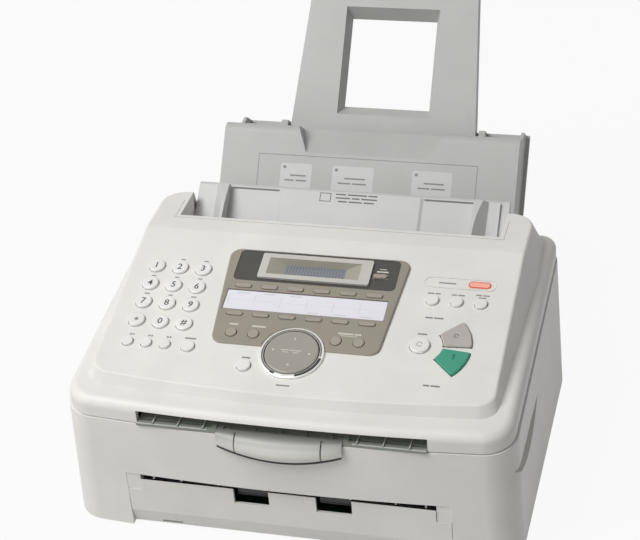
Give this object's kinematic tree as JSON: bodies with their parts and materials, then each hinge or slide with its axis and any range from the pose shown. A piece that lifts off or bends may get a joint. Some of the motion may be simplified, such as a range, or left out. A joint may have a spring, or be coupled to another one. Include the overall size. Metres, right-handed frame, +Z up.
{
  "type": "fax machine",
  "caption": "Desktop laser fax machine with a hinged control-panel cover, number keys, a display, document feeder, paper tray and sliding paper support.",
  "frame": {"origin": "middle of the footprint at the level of the surface that the machine stands on", "axes": "+X to the right and +Y to the back of the machine as its user faces it, +Z up"},
  "size_m": [0.37, 0.502, 0.2847],
  "materials": {
    "warm_white_plastic": "fine textured moulding",
    "grey_plastic": "fine textured moulding",
    "light_grey_plastic": "satin moulding",
    "dark_grey_plastic": "fine textured moulding",
    "black_plastic": "fine textured moulding",
    "taupe_plastic": "satin paint on a moulding",
    "bezel_plastic": "satin moulding",
    "copy_key_plastic": "satin moulding",
    "green_plastic": "satin moulding",
    "lamp_plastic": "translucent moulding",
    "display_glass": "grey display behind a clear window",
    "card_stock": "plain card under a clear film",
    "silver_trim": "satin metal paint",
    "steel_sheet": "zinc coated sheet",
    "steel_rod": "ground rod",
    "roller_metal": "turned tube",
    "drum_coating": "glossy coating",
    "black_rubber": "ground rubber",
    "board_laminate": "coated laminate"
  },
  "bodies": {
    "base": {"lower_housing": "warm_white_plastic", "base_pan": "steel_sheet", "exit_panel": "warm_white_plastic", "rear_feed_housing": "warm_white_plastic", "rubber_feet": "black_rubber", "mains_inlet": "black_plastic", "line_sockets": "black_plastic", "side_frames": "steel_sheet", "power_supply_board": "board_laminate", "main_board": "board_laminate", "laser_unit": "black_plastic", "main_motor": "steel_sheet", "fuser_frame": "black_plastic", "paper_tray_cover": "grey_plastic", "paper_tray_back": "grey_plastic", "toner_cartridge": "black_plastic", "hinge_pins": "steel_rod"},
    "cover": {"top_cover": "warm_white_plastic", "control_panel": "warm_white_plastic", "panel_fascia": "taupe_plastic", "display_bezel": "bezel_plastic", "display_module": "display_glass", "directory_card": "card_stock", "dial_ring": "silver_trim", "status_lamp": "lamp_plastic", "key_board": "board_laminate", "document_chute": "dark_grey_plastic", "document_tray": "grey_plastic"},
    "photo_drum": {"photo_drum": "drum_coating"},
    "transfer_roller": {"transfer_roller": "black_rubber"},
    "heat_roller": {"heat_roller": "roller_metal"},
    "pressure_roller": {"pressure_roller": "black_rubber"},
    "exit_rollers": {"exit_rollers": "black_rubber"},
    "pickup_roller": {"pickup_roller": "black_rubber"},
    "paper_support": {"paper_support": "grey_plastic"},
    "cover_release_lever": {"cover_release_lever": "light_grey_plastic"},
    "left_document_guide": {"left_document_guide": "grey_plastic"},
    "right_document_guide": {"right_document_guide": "grey_plastic"},
    "document_feed_roller": {"document_feed_roller": "black_rubber"},
    "navigator_disc": {"navigator_disc": "taupe_plastic"},
    "key_0": {"key_0": "warm_white_plastic"},
    "key_1": {"key_1": "warm_white_plastic"},
    "key_2": {"key_2": "warm_white_plastic"},
    "key_3": {"key_3": "warm_white_plastic"},
    "key_4": {"key_4": "warm_white_plastic"},
    "key_5": {"key_5": "warm_white_plastic"},
    "key_6": {"key_6": "warm_white_plastic"},
    "key_7": {"key_7": "warm_white_plastic"},
    "key_8": {"key_8": "warm_white_plastic"},
    "key_9": {"key_9": "warm_white_plastic"},
    "key_star": {"key_star": "warm_white_plastic"},
    "key_hash": {"key_hash": "warm_white_plastic"},
    "stop_key": {"stop_key": "warm_white_plastic"},
    "copy_key": {"copy_key": "copy_key_plastic"},
    "send_key": {"send_key": "green_plastic"},
    "function_keys": {"function_keys": "warm_white_plastic"},
    "mode_keys": {"mode_keys": "warm_white_plastic"},
    "station_keys": {"station_keys": "taupe_plastic"},
    "menu_keys": {"menu_keys": "taupe_plastic"},
    "display_key": {"display_key": "taupe_plastic"}
  },
  "joints": [
    {"name": "cover_hinge", "type": "hinge", "parent": "base", "child": "cover", "pos_m": [0, 0.027, 0.124], "axis": [-1, 0, 0], "range_deg": [0, 45]},
    {"name": "release_lever_lift", "type": "hinge", "parent": "cover", "child": "cover_release_lever", "pos_m": [0, -0.234, 0.1093], "axis": [-1, 0, 0], "range_deg": [0, 12], "stiffness_Nm_per_rad": 0.06, "springref_deg": -2.86},
    {"name": "navigator_rock", "type": "hinge", "parent": "cover", "child": "navigator_disc", "pos_m": [-0.0034, -0.17447, 0.13868], "axis": [1, 0, 0], "range_deg": [-3, 3], "stiffness_Nm_per_rad": 0.2},
    {"name": "right_guide_slide", "type": "slide", "parent": "cover", "child": "right_document_guide", "axis": [-1, 0, 0], "range_m": [0, 0.044]},
    {"name": "left_guide_slide", "type": "slide", "parent": "cover", "child": "left_document_guide", "axis": [1, 0, 0], "range_m": [0, 0.044]},
    {"name": "paper_support_slide", "type": "slide", "parent": "base", "child": "paper_support", "axis": [0, 0.6293, 0.7771], "range_m": [-0.105, 0]},
    {"name": "drum_spin", "type": "hinge", "parent": "base", "child": "photo_drum", "pos_m": [0, -0.113, 0.0717], "axis": [1, 0, 0], "continuous": true},
    {"name": "transfer_spin", "type": "hinge", "parent": "base", "child": "transfer_roller", "pos_m": [0, -0.113, 0.0513], "axis": [1, 0, 0], "continuous": true},
    {"name": "heat_roller_spin", "type": "hinge", "parent": "base", "child": "heat_roller", "pos_m": [0, -0.176, 0.0717], "axis": [1, 0, 0], "continuous": true},
    {"name": "pressure_roller_spin", "type": "hinge", "parent": "base", "child": "pressure_roller", "pos_m": [0, -0.176, 0.0473], "axis": [1, 0, 0], "continuous": true},
    {"name": "exit_roller_spin", "type": "hinge", "parent": "base", "child": "exit_rollers", "pos_m": [0, -0.224, 0.045], "axis": [1, 0, 0], "continuous": true},
    {"name": "pickup_spin", "type": "hinge", "parent": "base", "child": "pickup_roller", "pos_m": [0, 0.04194, 0.08239], "axis": [1, 0, 0], "continuous": true},
    {"name": "document_roller_spin", "type": "hinge", "parent": "cover", "child": "document_feed_roller", "pos_m": [0, -0.048, 0.131], "axis": [1, 0, 0], "continuous": true},
    {"name": "key_0_press", "type": "slide", "parent": "cover", "child": "key_0", "axis": [0, -0.2334, 0.9724], "range_m": [-0.0012, 0], "stiffness_N_per_m": 22, "springref_m": 0.001},
    {"name": "key_1_press", "type": "slide", "parent": "cover", "child": "key_1", "axis": [0, -0.2334, 0.9724], "range_m": [-0.0012, 0], "stiffness_N_per_m": 22, "springref_m": 0.001},
    {"name": "key_2_press", "type": "slide", "parent": "cover", "child": "key_2", "axis": [0, -0.2334, 0.9724], "range_m": [-0.0012, 0], "stiffness_N_per_m": 22, "springref_m": 0.001},
    {"name": "key_3_press", "type": "slide", "parent": "cover", "child": "key_3", "axis": [0, -0.2334, 0.9724], "range_m": [-0.0012, 0], "stiffness_N_per_m": 22, "springref_m": 0.001},
    {"name": "key_4_press", "type": "slide", "parent": "cover", "child": "key_4", "axis": [0, -0.2334, 0.9724], "range_m": [-0.0012, 0], "stiffness_N_per_m": 22, "springref_m": 0.001},
    {"name": "key_5_press", "type": "slide", "parent": "cover", "child": "key_5", "axis": [0, -0.2334, 0.9724], "range_m": [-0.0012, 0], "stiffness_N_per_m": 22, "springref_m": 0.001},
    {"name": "key_6_press", "type": "slide", "parent": "cover", "child": "key_6", "axis": [0, -0.2334, 0.9724], "range_m": [-0.0012, 0], "stiffness_N_per_m": 22, "springref_m": 0.001},
    {"name": "key_7_press", "type": "slide", "parent": "cover", "child": "key_7", "axis": [0, -0.2334, 0.9724], "range_m": [-0.0012, 0], "stiffness_N_per_m": 22, "springref_m": 0.001},
    {"name": "key_8_press", "type": "slide", "parent": "cover", "child": "key_8", "axis": [0, -0.2334, 0.9724], "range_m": [-0.0012, 0], "stiffness_N_per_m": 22, "springref_m": 0.001},
    {"name": "key_9_press", "type": "slide", "parent": "cover", "child": "key_9", "axis": [0, -0.2334, 0.9724], "range_m": [-0.0012, 0], "stiffness_N_per_m": 22, "springref_m": 0.001},
    {"name": "key_star_press", "type": "slide", "parent": "cover", "child": "key_star", "axis": [0, -0.2334, 0.9724], "range_m": [-0.0012, 0], "stiffness_N_per_m": 22, "springref_m": 0.001},
    {"name": "key_hash_press", "type": "slide", "parent": "cover", "child": "key_hash", "axis": [0, -0.2334, 0.9724], "range_m": [-0.0012, 0], "stiffness_N_per_m": 22, "springref_m": 0.001},
    {"name": "stop_key_press", "type": "slide", "parent": "cover", "child": "stop_key", "axis": [0, -0.2334, 0.9724], "range_m": [-0.0012, 0], "stiffness_N_per_m": 30, "springref_m": 0.001},
    {"name": "copy_key_press", "type": "slide", "parent": "cover", "child": "copy_key", "axis": [0, -0.2334, 0.9724], "range_m": [-0.0012, 0], "stiffness_N_per_m": 65, "springref_m": 0.001},
    {"name": "send_key_press", "type": "slide", "parent": "cover", "child": "send_key", "axis": [0, -0.2334, 0.9724], "range_m": [-0.0012, 0], "stiffness_N_per_m": 65, "springref_m": 0.001},
    {"name": "function_keys_press", "type": "slide", "parent": "cover", "child": "function_keys", "axis": [0, -0.2334, 0.9724], "range_m": [-0.0012, 0], "stiffness_N_per_m": 110, "springref_m": 0.001},
    {"name": "mode_keys_press", "type": "slide", "parent": "cover", "child": "mode_keys", "axis": [0, -0.2334, 0.9724], "range_m": [-0.0012, 0], "stiffness_N_per_m": 50, "springref_m": 0.001},
    {"name": "station_keys_press", "type": "slide", "parent": "cover", "child": "station_keys", "axis": [0, -0.2334, 0.9724], "range_m": [-0.0012, 0], "stiffness_N_per_m": 170, "springref_m": 0.001},
    {"name": "menu_keys_press", "type": "slide", "parent": "cover", "child": "menu_keys", "axis": [0, -0.2334, 0.9724], "range_m": [-0.0012, 0], "stiffness_N_per_m": 80, "springref_m": 0.001},
    {"name": "display_key_press", "type": "slide", "parent": "cover", "child": "display_key", "axis": [0, -0.2334, 0.9724], "range_m": [-0.0012, 0], "stiffness_N_per_m": 6, "springref_m": 0.001}
  ],
  "couplings": [
    {"joint": "left_guide_slide", "follows": "right_guide_slide", "ratio": 1},
    {"joint": "transfer_spin", "follows": "drum_spin", "ratio": -1.5},
    {"joint": "heat_roller_spin", "follows": "drum_spin", "ratio": 1},
    {"joint": "pressure_roller_spin", "follows": "drum_spin", "ratio": -1},
    {"joint": "exit_roller_spin", "follows": "drum_spin", "ratio": -1.6},
    {"joint": "pickup_spin", "follows": "drum_spin", "ratio": 0.923}
  ]
}
